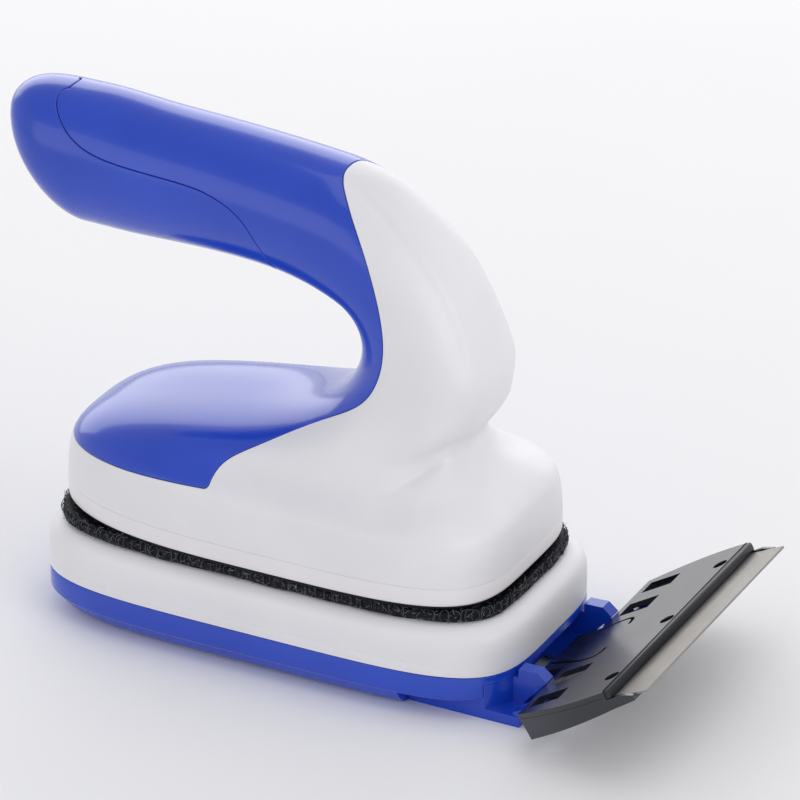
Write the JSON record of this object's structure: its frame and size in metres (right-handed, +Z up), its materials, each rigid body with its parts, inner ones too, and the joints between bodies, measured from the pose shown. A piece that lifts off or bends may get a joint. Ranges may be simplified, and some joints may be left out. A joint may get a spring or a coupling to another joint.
{
  "type": "magnetic glass cleaner",
  "caption": "Two-part magnetic aquarium glass cleaner with a C-shaped handle on the outer half and a slide-off scraper on the floating inner half.",
  "frame": {"origin": "centre of the inner half's flat bottom, which is the face the cleaner rests on", "axes": "+X towards the scraper blade, +Y to the left seen from behind the handle, +Z up through both halves"},
  "size_m": [0.2032, 0.089, 0.1401],
  "materials": {
    "blue_plastic": "glossy royal blue ABS",
    "white_plastic": "glossy cool white ABS",
    "seal_rubber": "soft gasket",
    "screw_steel": "stainless",
    "magnet": "dull ferrite",
    "yoke_steel": "plain steel plate",
    "inner_plastic": "matt black",
    "hook_fabric": "black hook-and-loop fabric",
    "felt": "thin black felt",
    "smoke_plastic": "glossy smoke black",
    "blade_steel": "polished stainless strip"
  },
  "bodies": {
    "inner_half": {"keel_shell": "blue_plastic", "inner_seal": "seal_rubber", "inner_shell": "white_plastic", "keel_screws": "screw_steel", "inner_magnets": "magnet", "inner_yoke_plate": "yoke_steel", "inner_magnet_retainer": "inner_plastic", "hook_pad": "hook_fabric", "scraper_mount": "blue_plastic", "mount_screws": "screw_steel"},
    "outer_half": {"felt_pad": "felt", "base_plate": "white_plastic", "base_screws": "screw_steel", "outer_magnets": "magnet", "outer_yoke_plate": "yoke_steel", "outer_magnet_retainer": "inner_plastic", "body_shell": "white_plastic", "spine_shell": "blue_plastic", "tail_shell": "blue_plastic", "tail_screws": "screw_steel"},
    "scraper": {"blade_holder": "smoke_plastic", "blade": "blade_steel", "holder_cover": "smoke_plastic", "blade_pins": "inner_plastic"}
  },
  "joints": [
    {"name": "outer_lift", "type": "slide", "parent": "inner_half", "child": "outer_half", "axis": [0, 0, 1], "range_m": [0, 0.06]},
    {"name": "scraper_slide", "type": "slide", "parent": "inner_half", "child": "scraper", "axis": [0.8554, 0, 0.518], "range_m": [0, 0.04]}
  ]
}
